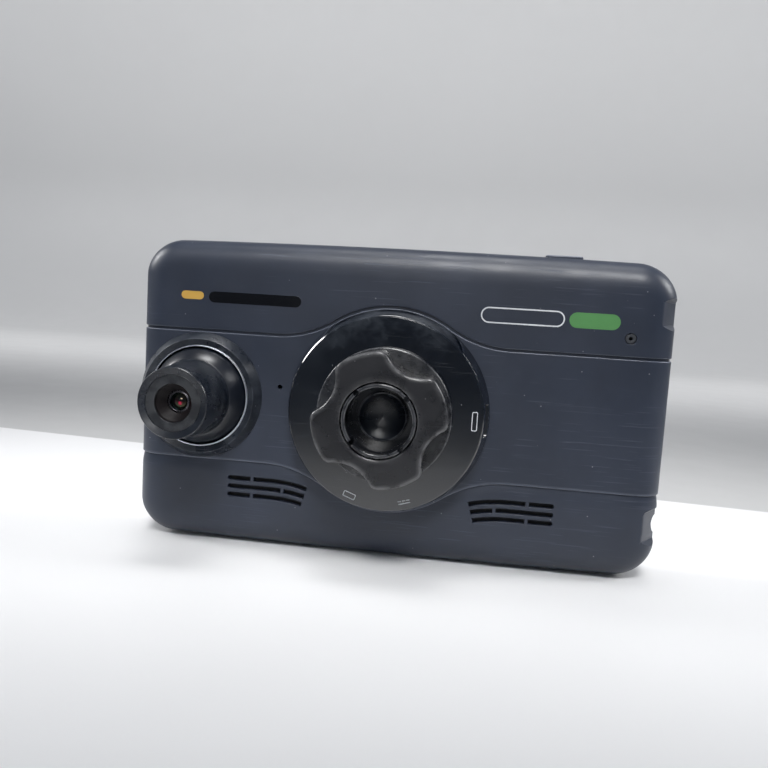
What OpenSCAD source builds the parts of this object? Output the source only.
// Dash camera with a 5 inch touch screen, seen with its lens side facing -Y.
// Row frame: origin at the centre of the ball seat, +X to the right seen from the lens side,
// +Y through the housing towards the screen, +Z up.
// Every sub-part is drawn in the housing's own frame: x to the right, y up and z standing out
// of the flat back, with the origin in the middle of that back. placed() turns it upright.

/* [Housing] */
// Width of the housing
body_w = 144; // [143:0.5:146]
// Height of the housing
body_h = 84.5; // [84:0.5:86]
// Depth of the rear shell, from the flat back to the parting line
rear_d = 12; // [12:0.1:12.4]
// Depth of the front frame
frame_d = 4.5; // [4.5:0.1:5]
// Radius of the housing's corners
corner_r = 10.5; // [9:0.5:11]
// How far the soft back edge reaches in from the side
edge_in = 8.5; // [7:0.25:8.75]
// How far the soft back edge drops
edge_drop = 7; // [6:0.25:8]
// Wall thickness of the shells
wall = 1.8; // [1.6:0.1:2]

/* [Mount disc and ball clamp] */
// Disc centre, to the right of the housing's middle
disc_x = -1.1; // [-2:0.1:0]
// Disc centre, above the housing's middle
disc_y = -1.4; // [-2:0.1:0]
// Radius of the disc at its face
disc_r = 25.7; // [25.5:0.1:26]
// Radius of the disc where it meets the back
disc_foot_r = 27.2; // [27:0.1:27.4]
// Height of the disc
disc_h = 6.1; // [6:0.1:6.4]
// Radius of the clamp's round flange
flange_r = 17.6; // [17.4:0.1:18]
// Thickness of the flange
flange_t = 2.5; // [2.4:0.1:2.6]
// Radius of the clamp nut across its lobes
nut_r = 17.1; // [16.8:0.1:17.3]
// Radius of the nut at the bottom of a scallop
scallop_r = 13.3; // [13.2:0.1:13.8]
// Number of lobes on the nut
lobes = 4; // [4:1:5]
// Height of the nut's face above the flat back
nut_top = 18.5; // [18.3:0.1:18.8]
// Diameter of the ball that the clamp grips
ball_d = 17; // [16.8:0.1:17]

/* [Lens unit] */
// Lens centre, to the right of the housing's middle
lens_x = -53.2; // [-53.6:0.1:-52.8]
// Lens centre, above the housing's middle
lens_y = -0.8; // [-1.4:0.1:-0.4]
// Radius of the collar at its foot
collar_r = 17.3; // [17.2:0.1:17.4]
// Radius of the eyeball
eye_r = 14; // [13.9:0.1:14]
// Radius of the lens barrel at its front
barrel_r = 9.1; // [9:0.1:9.3]
// Height of the barrel's front above the flat back
barrel_top = 19.7; // [19:0.1:20.5]

/* [Ports and button] */
// Bore of the headphone jack
phone_bore_r = 1.8; // [1.78:0.01:1.82]
// Bore of the video jack
video_bore_r = 1.28; // [1.27:0.01:1.3]
// Length of the power button
button_l = 9.8; // [9:0.1:10.4]
// How far the power button stands out
button_out = 0.6; // [0.5:0.1:0.8]

/* [Hidden] */
$fn = 96;
eps = 0.01;
fit = 0.05;              // slip gap between pieces of one assembly
gap = 0.3;               // free gap between pieces that move past each other

body_d = rear_d + frame_d;
seat_r = ball_d / 2;
ball_sink = 2.5;         // ball centre below the collet's rim
ball_z = nut_top - ball_sink;
flange_z = disc_h + flange_t;
nut_phase = 20;          // turn of the lobes at rest, degrees
lens_z = -3.1;           // tilt axis below the flat back

seam_up = 17.1;          // the middle band's straight edges
seam_low = -18.6;
seam_r = 27.8;           // the band's bulge round the disc
seam_blend = 30;
groove_w = 0.8;
groove_d = 0.5;

glass_w = body_w - 6.4;
glass_h = body_h - 5;
glass_t = 1;
glass_corner = 6.5;
gasket_t = 0.4;
lcd_w = 118;
lcd_h = 70;
lcd_t = 2.8;
view_w = 109;
view_h = 62;
glass_z = -body_d + glass_t;
lcd_z = glass_z + gasket_t;

board_t = 1.2;
board_z = -rear_d + 0.4; // underside of the main board
board_top = board_z + board_t;
board_box = [-34, -38.5, 66, 38.5];
posts = [[-30, 35.5], [14, 35.5], [0, -36], [48, -36]];
post_r = 2.4;
m2_r = 1;

speaker_x = 33.5;
speaker_y = -25.8;
speaker_r = 9.6;
slot_w = 1.25;
slot_pitch = 2.35;
slot_bend = 38;          // radius of the slots' inner ends
grille_rows = 3;

scoop_in = 4.1;          // how far a scoop reaches in from the side
scoop_block = 5.8;
card_y = 28.9;
card_l = 8.6;
phone_y = -27;
phone_l = 10.4;
phone_z = -8;
phone_sleeve_r = 2.5;

mic = [60.1, 22.1];
reset_at = [-30.9, 3];

button_x = 42.6;
button_w = 2.8;
button_z = -7.4;
button_foot = 3.05;      // from the housing's top edge to the button's foot

screw_ring_r = 21;
screw_boss_r = 2.6;
disc_skin = 1;
cable_r = 8;             // cable hole under the disc
usb_a = 0;
power_a = -74;
video_a = -110;
port_z = 3;              // height of the sockets' middle
port_r = 25.4;           // how far out the sockets reach
port_l = 10;
port_h = 4;
port_in = 23.4;          // how far out the sockets' square bodies reach
power_r = 2.05;
video_r = 1.95;
board_lift = 0.15;
socket_z = board_lift + 0.8;

thread_r = 12;
collet_top_r = 9.3;
cone_z0 = 13;            // the collet's cone, from here up to cone_z1
cone_z1 = 16;
collet_bore = 8.3;
collet_floor = 8.2;
seat_cup_r = 6.4;
seat_cup_h = 3.9;
seat_floor = 7;
ring_z = [14.3, 15.9];
ring_r = 12.6;
ring_gap = 0.4;

collar_top = 2.6;
collar_mouth = 15.5;
collar_bore = 14.4;
collar_lip = 13.95;      // the collar's lip holds the trim ring down
lip_z = 1.75;
trim_in = 13.5;
trim_out = 13.85;
trim_top = 2.35;
pin_r = 1.5;
pin_end = 15.3;
ear_w = 5;
neck_r = 10.3;
bore_r = 8.6;
bezel_r = 7.3;
dish = 0.5;              // the barrel's front rim slopes in by this much
aperture_r = 4.9;
cell_r = 6;
lens_r = 2.3;
stack_z = barrel_top - 4.6; // where the front lens sits
eye_base = lens_z - 4;
eye_top = 6.3;
cell_base = -4.8;
cell_bore = 4.4;
cell_step = -1;          // the cell narrows in front of the rear lens
rear_ball = 9;

// ---------- helpers ----------

// Stands the housing's own frame upright in the row frame
module placed() {
    translate([-disc_x, ball_z, -disc_y])
        rotate([90, 0, 0])
            children();
}

module at_disc() {
    translate([disc_x, disc_y, 0])
        children();
}

module at_lens() {
    translate([lens_x, lens_y, 0])
        children();
}

// A rectangle with round corners
module soft_rect(w, h, r) {
    square([w - 2 * r, h], center = true);
    square([w, h - 2 * r], center = true);
    for (sx = [-1, 1], sy = [-1, 1])
        translate([sx * (w / 2 - r), sy * (h / 2 - r)])
            circle(r);
}

// A slab with round corners between two heights
module slab(w, h, r, z0, z1) {
    translate([0, 0, z0])
        linear_extrude(z1 - z0)
            soft_rect(w, h, r);
}

// A box given by its two corners
module block(a, b) {
    translate(a)
        cube(b - a);
}

// A cylinder between two heights
module disc(r, z0, z1) {
    translate([0, 0, z0])
        cylinder(r = r, h = z1 - z0);
}

// A flat ring between two heights
module ring(r_in, r_out, z0, z1) {
    difference() {
        disc(r_out, z0, z1);
        disc(r_in, z0 - 1, z1 + 1);
    }
}

// One point of the soft back edge: t runs from 0 at the side to 1 on the flat back
function edge_point(t, inset, drop) = [
    -inset * (1 - pow(cos(90 * t), 0.9)),
    -drop * (1 - pow(sin(90 * t), 0.9))
];

// The housing's outer form, or its inside when inset by the wall
module soft_body(inset, floor_z) {
    reach = edge_in - inset / 2;
    drop = edge_drop - inset / 2;
    hull()
        for (sx = [-1, 1], sy = [-1, 1])
            translate([sx * (body_w / 2 - corner_r), sy * (body_h / 2 - corner_r), 0])
                rotate_extrude($fn = 48)
                    polygon(concat(
                        [[0, -inset], [0, floor_z], [corner_r - inset, floor_z]],
                        [for (i = [0:8])
                            edge_point(i / 8, reach - inset / 2, drop)
                                + [corner_r - inset, -inset]]
                    ));
}

// The middle band: a strip that bulges round the disc, with soft inner corners
module band(grow) {
    offset(r = grow)
        offset(r = -seam_blend, $fn = 160)
            offset(delta = seam_blend, $fn = 160)
                union() {
                    translate([-body_w, seam_low])
                        square([2 * body_w, seam_up - seam_low]);
                    translate([disc_x, disc_y])
                        circle(seam_r, $fn = 120);
                }
}

// The line round the middle band, cut into the flat back and down its soft edges
module seam_groove() {
    translate([0, 0, -edge_drop])
        linear_extrude(edge_drop + 1)
            difference() {
                band(groove_w / 2);
                band(-groove_w / 2);
            }
}

// One curved grille slot, straight on the outside and bent down on the inside
module slot_line(x_in, x_out, x_bend) {
    translate([x_bend, -slot_w / 2])
        square([x_out - x_bend, slot_w]);
    translate([x_out, 0])
        circle(slot_w / 2, $fn = 24);
    translate([x_bend, -slot_bend])
        intersection() {
            difference() {
                circle(slot_bend + slot_w / 2);
                circle(slot_bend - slot_w / 2);
            }
            translate([x_in - x_bend, 0])
                square([x_bend - x_in, slot_bend + slot_w]);
        }
}

// The three slots of one grille, each with a small bridge
module grille() {
    for (i = [0:grille_rows - 1])
        translate([0, -23.3 - slot_pitch * i])
            difference() {
                slot_line(22.2 + 0.65 * i, 43.9, 32.5);
                translate([i == 1 ? 28.6 : 37.2, -slot_w])
                    square([0.9, 2 * slot_w]);
            }
}

// A scoop in the right edge: a sloped cut with sloped ends
module scoop(y, l) {
    x0 = body_w / 2 - scoop_in;
    translate([x0, y, -1])
        rotate([0, -33, 0])
            translate([0, 0, -rear_d])
                linear_extrude(2 * rear_d)
                    polygon([
                        [0, -l / 2 + 1.2], [0, l / 2 - 1.2], [3.4, l / 2 + 1.6],
                        [8, l / 2 + 1.6], [8, -l / 2 - 1.6], [3.4, -l / 2 - 1.6]
                    ]);
}

// Lays a part out along a port's direction, x pointing out of the disc
module at_port(a) {
    at_disc()
        rotate([0, 0, a])
            children();
}

// ---------- housing ----------

module rear_shell() {
    x_in = body_w / 2 - scoop_block;
    color("#2b2f36")
        placed()
            difference() {
                union() {
                    difference() {
                        soft_body(0, -rear_d);
                        soft_body(wall, -rear_d - 1);
                        difference() {
                            seam_groove();
                            soft_body(groove_d, -rear_d);
                        }
                    }
                    for (p = posts)
                        translate(p)
                            disc(post_r, board_top, -wall + eps);
                    for (s = [[card_y, card_l], [phone_y, phone_l]])
                        intersection() {
                            soft_body(wall / 2, -rear_d);
                            block([x_in, s[0] - s[1] / 2 - 2, 1.1 - rear_d],
                                  [body_w / 2, s[0] + s[1] / 2 + 2, 0]);
                        }
                }
                for (p = posts)
                    translate(p)
                        disc(m2_r + fit, board_top - 1, -wall - 2);
                scoop(card_y, card_l);
                scoop(phone_y, phone_l);
                // card slot and headphone jack
                block([x_in - 1, card_y - 5.8, board_top + 0.3],
                      [body_w / 2 + 1, card_y + 5.8, board_top + 1.6]);
                translate([x_in - 1, phone_y, phone_z])
                    rotate([0, 90, 0])
                        cylinder(r = phone_sleeve_r + fit, h = 9);
                // power button
                block([button_x - button_l / 2 - 0.25, body_h / 2 - 4, button_z - button_w / 2 - 0.25],
                      [button_x + button_l / 2 + 0.25, body_h / 2 + 1, button_z + button_w / 2 + 0.25]);
                // speaker grilles
                for (s = [0, 1])
                    mirror([s, 0, 0])
                        translate([0, 0, -wall - 1])
                            linear_extrude(wall + 2)
                                grille();
                // microphone and reset holes
                translate(mic)
                    disc(1.45, -wall - 1, 1);
                translate(reset_at)
                    disc(0.6, -wall - 1, 1);
                // disc screws and the cable hole under the disc
                at_disc() {
                    for (a = [45:90:315])
                        rotate([0, 0, a])
                            translate([screw_ring_r, 0])
                                disc(1.35, -wall - 1, 1);
                    disc(cable_r, -wall - 1, 1);
                }
                // seat of the lens collar, and room below it for the pins' ends
                at_lens() {
                    disc(collar_r + fit, -3.5, 4);
                    disc(pin_end + 0.9, -6, 0);
                }
            }
}

module front_frame() {
    w = body_w - 0.6;
    h = body_h - 0.6;
    r = corner_r - 0.3;
    lip = wall + fit;
    color("#15171a")
        placed()
            difference() {
                union() {
                    hull() {
                        slab(w, h, r, -body_d + 1.2, -rear_d);
                        slab(w - 0.8, h - 0.8, r - 0.4, -body_d + 0.35, -rear_d);
                        slab(w - 2.2, h - 2.2, r - 1.1, -body_d, -rear_d);
                    }
                    slab(body_w - 2 * lip, body_h - 2 * lip, corner_r - lip, -rear_d - 1, -rear_d + 0.9);
                }
                // room for the electronics, the screen and the glass
                slab(body_w - 2 * lip - 2, body_h - 2 * lip - 2, corner_r - lip - 1, -rear_d - 0.35, 1);
                slab(lcd_w + 0.6, lcd_h + 0.6, 1, -body_d - 1, 1);
                slab(glass_w + 0.2, glass_h + 0.2, glass_corner + 0.1, -body_d - 1, glass_z);
            }
}

module touch_glass() {
    color("#0a0b0d")
        placed()
            slab(glass_w, glass_h, glass_corner, -body_d, glass_z);
}

module lcd_gasket() {
    color("#1c1c1e")
        placed()
            difference() {
                slab(lcd_w, lcd_h, 1, glass_z, lcd_z);
                slab(view_w, view_h, 1, glass_z - 1, lcd_z + 1);
            }
}

module lcd_panel() {
    color("#9aa0a6")
        placed()
            slab(lcd_w, lcd_h, 1, lcd_z, lcd_z + lcd_t);
}

module main_board() {
    // the board stays clear of the frame's round inner corners
    room = wall + fit + 1.3;
    color("#1d5a3a")
        placed()
            difference() {
                intersection() {
                    block([board_box[0], board_box[1], board_z],
                          [board_box[2], board_box[3], board_top]);
                    slab(body_w - 2 * room, body_h - 2 * room, corner_r - room, board_z, board_top);
                }
                for (p = posts)
                    translate(p)
                        disc(m2_r + 0.3, board_z - 1, board_top + 1);
            }
}

module shield_can() {
    color("#b9bcc0")
        placed()
            translate([50, -2, 0])
                slab(26, 26, 1, board_top, board_top + 2.2);
}

module battery() {
    color("#6d7f95")
        placed()
            translate([3, 0, 0])
                slab(54, 30, 2, board_top + 0.5, board_top + 5);
}

module board_screws() {
    color("#b0b4b8")
        placed()
            for (p = posts)
                translate(p) {
                    disc(m2_r, board_z - eps, board_z + 6);
                    disc(1.9, board_z - 0.5, board_z);
                }
}

// A round speaker: basket against the grille, magnet behind
module speaker() {
    color("#2c2c2e")
        placed()
            translate([speaker_x, speaker_y, 0]) {
                disc(speaker_r, -5, -2.2);
                disc(speaker_r - 3.4, -7.2, -5 + eps);
            }
}

module left_speaker() {
    translate([-2 * disc_x, 0, 0])
        mirror([1, 0, 0])
            speaker();
}

module right_speaker() {
    speaker();
}

// The dust mesh glued behind a grille
module grille_mesh() {
    color("#0e0f10")
        placed()
            translate([speaker_x - 0.5, -26.3, 0])
                slab(25, 9.5, 2, -2.1, -wall);
}

module left_grille_mesh() {
    translate([-2 * disc_x, 0, 0])
        mirror([1, 0, 0])
            grille_mesh();
}

module right_grille_mesh() {
    grille_mesh();
}

module gps_antenna() {
    color("#d8cfae")
        placed()
            translate([34, 27, 0]) {
                slab(18, 18, 1, board_top, board_top + 4);
                slab(13, 13, 0.5, board_top + 4 - eps, board_top + 4.1);
            }
}

module microphone() {
    color("#c4c7ca")
        placed()
            translate(mic)
                disc(2, -5.9, -4.3);
}

module microphone_boot() {
    color("#26282c")
        placed()
            translate(mic)
                difference() {
                    union() {
                        disc(1.4, -4.3, -0.3);
                        disc(2.6, -4.3, -wall);
                    }
                    disc(0.45, -5, 1);
                }
}

module reset_switch() {
    color("#3a3d42")
        placed()
            translate(reset_at) {
                slab(3, 3, 0.3, board_top, board_top + 2);
                disc(0.8, board_top + 2 - eps, board_top + 2.6);
            }
}

module card_socket() {
    color("#b7babd")
        placed()
            difference() {
                block([52, card_y - 6.6, board_top], [66.1, card_y + 6.6, board_top + 1.9]);
                block([53, card_y - 5.6, board_top + 0.4], [67, card_y + 5.6, board_top + 1.5]);
            }
}

module headphone_jack() {
    x0 = 56;
    x1 = 70.6;
    color("#1a1b1d")
        placed()
            translate([0, phone_y, phone_z])
                difference() {
                    union() {
                        block([x0, -3, board_top - phone_z], [66.1, 3, 2.6]);
                        translate([x0 + 1, 0, 0])
                            rotate([0, 90, 0])
                                cylinder(r = phone_sleeve_r - 0.12, h = x1 - x0 - 1);
                    }
                    translate([x0 + 1, 0, 0])
                        rotate([0, 90, 0])
                            cylinder(r = phone_bore_r, h = x1 - x0);
                }
}

module power_button() {
    color("#24272d")
        placed()
            translate([button_x, body_h / 2, button_z])
                rotate([90, 0, 0]) {
                    slab(button_l, button_w, 1.2, -button_out, button_foot);
                    translate([0, -0.8, 0])
                        slab(button_l + 2, button_w + 0.4, 1.2, wall + gap, button_foot);
                }
}

module power_switch() {
    y1 = body_h / 2 - button_foot - 0.45;
    color("#d0d2d4")
        placed()
            translate([button_x, 0, 0]) {
                block([-3.2, y1 - 2.6, button_z - 1.7], [3.2, y1 - 0.5, button_z + 1.7]);
                translate([0, y1, button_z])
                    rotate([90, 0, 0])
                        disc(0.9, 0, 1);
                block([-2.4, y1 - 2.4, board_top], [2.4, y1 - 0.7, button_z - 1.7 + eps]);
            }
}

// ---------- mount disc with its ports ----------

module mount_disc() {
    foot = disc_foot_r;
    slope = (foot - disc_r) / (disc_h - 0.6);
    color("#0c0d10")
        placed()
            difference() {
                at_disc()
                    union() {
                        rotate_extrude()
                            polygon([
                                [10, disc_h - disc_skin], [foot - 1.6 - slope * 4.4, disc_h - disc_skin],
                                [foot - 1.6, 0], [foot, 0], [foot, 0.6],
                                [disc_r + 0.08, disc_h - 0.35], [disc_r - 0.25, disc_h], [10, disc_h]
                            ]);
                        for (a = [45:90:315])
                            rotate([0, 0, a])
                                translate([screw_ring_r, 0])
                                    disc(screw_boss_r, 0, disc_h - disc_skin + eps);
                    }
                at_disc()
                    for (a = [45:90:315])
                        rotate([0, 0, a])
                            translate([screw_ring_r, 0])
                                disc(1.3, -1, 4.2);
                at_port(usb_a)
                    block([22, -4.3, board_lift + 0.7], [29, 4.3, port_z + 1.7]);
                at_port(power_a)
                    translate([22, 0, port_z])
                        rotate([0, 90, 0])
                            cylinder(r = power_r + fit, h = 7);
                at_port(video_a)
                    translate([22, 0, port_z])
                        rotate([0, 90, 0])
                            cylinder(r = video_r + fit, h = 7);
            }
}

module mount_screws() {
    color("#aeb2b6")
        placed()
            at_disc()
                for (a = [45:90:315])
                    rotate([0, 0, a])
                        translate([screw_ring_r, 0]) {
                            disc(2.1, -wall - 1.3, -wall);
                            disc(1.25, -wall - eps, 3.8);
                        }
}

module port_board() {
    color("#1d5a3a")
        placed()
            at_disc()
                difference() {
                    ring(12.6, 24.4, board_lift, socket_z);
                    for (a = [45:90:315])
                        rotate([0, 0, a])
                            translate([screw_ring_r, 0])
                                disc(screw_boss_r + 0.2, -1, 2);
                }
}

module usb_socket() {
    color("#c3c6c9")
        placed()
            at_port(usb_a)
                difference() {
                    block([19, -3.9, socket_z], [port_r, 3.9, 4.4]);
                    // the mouth, with the tongue that carries the contacts left standing
                    block([20, -3.5, 1.35], [port_r + 1, 3.5, 2.9]);
                    block([20, -3.5, 3.5], [port_r + 1, 3.5, 4]);
                    block([port_r - 1.2, -3.5, 1.35], [port_r + 1, 3.5, 4]);
                }
}

module power_jack() {
    color("#17181a")
        placed()
            at_port(power_a)
                difference() {
                    union() {
                        block([16, -2.5, socket_z], [port_in, 2.5, socket_z + port_h]);
                        translate([16, 0, port_z])
                            rotate([0, 90, 0])
                                cylinder(r = power_r, h = port_r - 16);
                    }
                    translate([17, 0, port_z])
                        rotate([0, 90, 0])
                            difference() {
                                cylinder(r = 1.7, h = port_l);
                                translate([0, 0, -1])
                                    cylinder(r = 0.55, h = port_l - 0.4, $fn = 24);
                            }
                }
}

module video_jack() {
    color("#17181a")
        placed()
            at_port(video_a)
                difference() {
                    union() {
                        block([15, -2.3, socket_z], [port_in, 2.3, socket_z + port_h]);
                        translate([15, 0, port_z])
                            rotate([0, 90, 0])
                                cylinder(r = video_r, h = port_r - 15);
                    }
                    translate([port_r - port_l, 0, port_z])
                        rotate([0, 90, 0])
                            cylinder(r = video_bore_r, h = port_l + 1);
                }
}

// ---------- ball clamp ----------

// Radius of the collet's cone at a height
function cone_r(z) = thread_r - 0.4
    - (thread_r - 0.4 - collet_top_r) * (z - cone_z0) / (cone_z1 - cone_z0);

module ball_collet() {
    color("#1a1b1e")
        placed()
            at_disc()
                difference() {
                    rotate_extrude()
                        polygon([
                            [0, disc_h - disc_skin], [9.8, disc_h - disc_skin], [9.8, disc_h],
                            [flange_r - 0.4, disc_h], [flange_r, disc_h + 0.4],
                            [flange_r, flange_z - 0.5], [flange_r - 0.5, flange_z],
                            [thread_r, flange_z], [thread_r, cone_z0 - 0.4],
                            [cone_r(cone_z0), cone_z0], [collet_top_r, cone_z1],
                            [collet_top_r, nut_top - 0.5], [collet_top_r - 0.2, nut_top - 0.1],
                            [collet_top_r - 0.5, nut_top], [collet_bore, nut_top],
                            [collet_bore, collet_floor], [seat_cup_r + fit, collet_floor],
                            [seat_cup_r + fit, seat_floor], [0, seat_floor]
                        ]);
                    translate([0, 0, ball_z])
                        sphere(seat_r);
                    for (a = [42, 132])
                        rotate([0, 0, a])
                            block([-20, -0.6, cone_z0 + 0.3], [20, 0.6, nut_top + 1]);
                }
}

module ball_seat() {
    color("#101113")
        placed()
            at_disc()
                difference() {
                    disc(seat_cup_r, seat_floor, seat_floor + seat_cup_h);
                    translate([0, 0, ball_z])
                        sphere(seat_r);
                }
}

module pressure_ring() {
    color("#2a2c30")
        placed()
            at_disc()
                rotate_extrude()
                    polygon([
                        [cone_r(ring_z[0]) + ring_gap, ring_z[0]], [ring_r, ring_z[0]],
                        [ring_r, ring_z[1]], [cone_r(ring_z[1]) + ring_gap, ring_z[1]]
                    ]);
}

// Outline of the nut: a circle with scallops and soft lobes
module nut_outline() {
    scoop_c = 22.6 * scallop_r / 13.3;
    offset(r = 2.4, $fn = 40)
        offset(delta = -2.4)
            difference() {
                circle(nut_r, $fn = 96);
                for (i = [0:lobes - 1])
                    rotate(nut_phase + 45 + i * 360 / lobes)
                        translate([scoop_c, 0])
                            circle(scoop_c - scallop_r, $fn = 64);
            }
}

module clamp_nut() {
    z0 = flange_z + gap;
    color("#3b3836")
        placed()
            at_disc()
                difference() {
                    union() {
                        translate([0, 0, z0])
                            linear_extrude(nut_top - 0.7 - z0)
                                nut_outline();
                        for (i = [0:2])
                            translate([0, 0, z0 + 1])
                                linear_extrude(nut_top - 0.7 - z0 - 1 + [0.3, 0.55, 0.7][i])
                                    offset(delta = -[0.1, 0.3, 0.7][i])
                                        nut_outline();
                    }
                    disc(thread_r + fit, 0, ring_z[0]);
                    disc(ring_r + 0.1, ring_z[0] - 0.3, ring_z[1] + 0.1);
                    disc(collet_top_r + gap, 0, nut_top + 1);
                }
}

// ---------- lens unit ----------

module lens_collar() {
    color("#22252b")
        placed()
            at_lens()
                difference() {
                    union() {
                        rotate_extrude()
                            polygon([
                                [collar_bore, -3.4], [collar_r, -3.4], [collar_r, 0],
                                [collar_mouth + 0.35, collar_top - 0.3], [collar_mouth, collar_top],
                                [collar_lip + 0.1, lip_z + 0.3], [collar_lip, lip_z + 0.2],
                                [collar_lip, lip_z], [collar_bore, lip_z]
                            ]);
                        intersection() {
                            ring(collar_bore, 15.4, lens_z - ear_w / 2, -3.3);
                            block([-20, -ear_w / 2, -10], [20, ear_w / 2, 0]);
                        }
                    }
                    translate([-20, 0, lens_z])
                        rotate([0, 90, 0])
                            cylinder(r = pin_r + fit, h = 40);
                }
}

module lens_trim_ring() {
    color("#d6d9dc")
        placed()
            at_lens()
                rotate_extrude()
                    polygon([
                        [trim_in + 0.15, lip_z - 0.2], [trim_in, lip_z + 0.1],
                        [trim_in + 0.1, trim_top], [trim_out - 0.1, trim_top],
                        [trim_out, trim_top - 0.1], [trim_out, lip_z - fit],
                        [collar_bore, lip_z - fit], [collar_bore, -1],
                        [collar_bore - 0.25, -1], [collar_bore - 0.25, lip_z - 0.75]
                    ]);
}

module lens_eyeball() {
    color("#1b1d21")
        placed()
            at_lens()
                difference() {
                    union() {
                        intersection() {
                            translate([0, 0, lens_z])
                                sphere(eye_r);
                            disc(eye_r + 1, eye_base, eye_top);
                        }
                        translate([-pin_end, 0, lens_z])
                            rotate([0, 90, 0])
                                cylinder(r = pin_r, h = 2 * pin_end);
                    }
                    disc(bore_r, eye_base - 1, eye_top + 1);
                }
}

module lens_barrel() {
    top = barrel_top;
    color("#17191d")
        placed()
            at_lens()
                rotate_extrude()
                    polygon([
                        [cell_r, -2], [bore_r - fit, -2], [bore_r - fit, eye_top],
                        [neck_r, eye_top], [neck_r - 0.35, eye_top + 1.1],
                        [barrel_r + 0.1, top - 0.3], [barrel_r - 0.1, top],
                        [bezel_r + 0.1, top - dish], [bezel_r + 0.02, top - dish],
                        [bezel_r + 0.02, top - 1.2],
                        [cell_r, top - 1.2]
                    ]);
}

module lens_bezel() {
    color("#202226")
        placed()
            at_lens()
                ring(aperture_r, bezel_r, barrel_top - 1.2, barrel_top - dish - 0.1);
}

module lens_baffle() {
    z = barrel_top - 1.2;
    color("#2e2523")
        placed()
            at_lens()
                rotate_extrude()
                    polygon([
                        [aperture_r, z], [5.9, z], [5.9, z - 0.4],
                        [3.4, stack_z + 0.4], [2.9, stack_z + 0.4]
                    ]);
}

module lens_retainer() {
    z = stack_z;
    color("#8b8f94")
        placed()
            at_lens()
                rotate_extrude()
                    polygon([
                        [lens_r, z - 0.6], [3.4, z - 0.6], [3.4, z], [2.75, z + 0.3],
                        [2.45, z + 0.3], [lens_r, z + 0.15]
                    ]);
}

module front_lens() {
    z = stack_z;
    color("#301a2a")
        placed()
            at_lens()
                intersection() {
                    disc(lens_r, z - 0.6, z + 2);
                    translate([0, 0, z - 3.7])
                        sphere(4.2);
                }
}

module lens_cell() {
    z = stack_z - 0.6;
    color("#0f1012")
        placed()
            at_lens()
                rotate_extrude()
                    polygon([
                        [lens_r - 0.3, z], [cell_r - fit, z], [cell_r - fit, cell_base],
                        [cell_bore, cell_base], [cell_bore, cell_step], [lens_r - 0.3, cell_step]
                    ]);
}

module rear_lens() {
    color("#3a4a50")
        placed()
            at_lens()
                intersection() {
                    disc(cell_bore - fit, cell_step - 2, cell_step);
                    translate([0, 0, cell_step - rear_ball])
                        sphere(rear_ball);
                }
}

module sensor_board() {
    color("#1d5a3a")
        placed()
            at_lens()
                slab(15.4, 15.4, 1, eye_base - 1, eye_base);
}

module image_sensor() {
    color("#2d2f3a")
        placed()
            at_lens()
                slab(7, 7, 0.3, eye_base, eye_base + 1);
}

rear_shell();
front_frame();
touch_glass();
lcd_gasket();
lcd_panel();
main_board();
shield_can();
battery();
board_screws();
left_speaker();
right_speaker();
left_grille_mesh();
right_grille_mesh();
gps_antenna();
microphone();
microphone_boot();
reset_switch();
card_socket();
headphone_jack();
power_button();
power_switch();
mount_disc();
mount_screws();
port_board();
usb_socket();
power_jack();
video_jack();
ball_collet();
ball_seat();
pressure_ring();
clamp_nut();
lens_collar();
lens_trim_ring();
lens_eyeball();
lens_barrel();
lens_bezel();
lens_baffle();
lens_retainer();
front_lens();
lens_cell();
rear_lens();
sensor_board();
image_sensor();
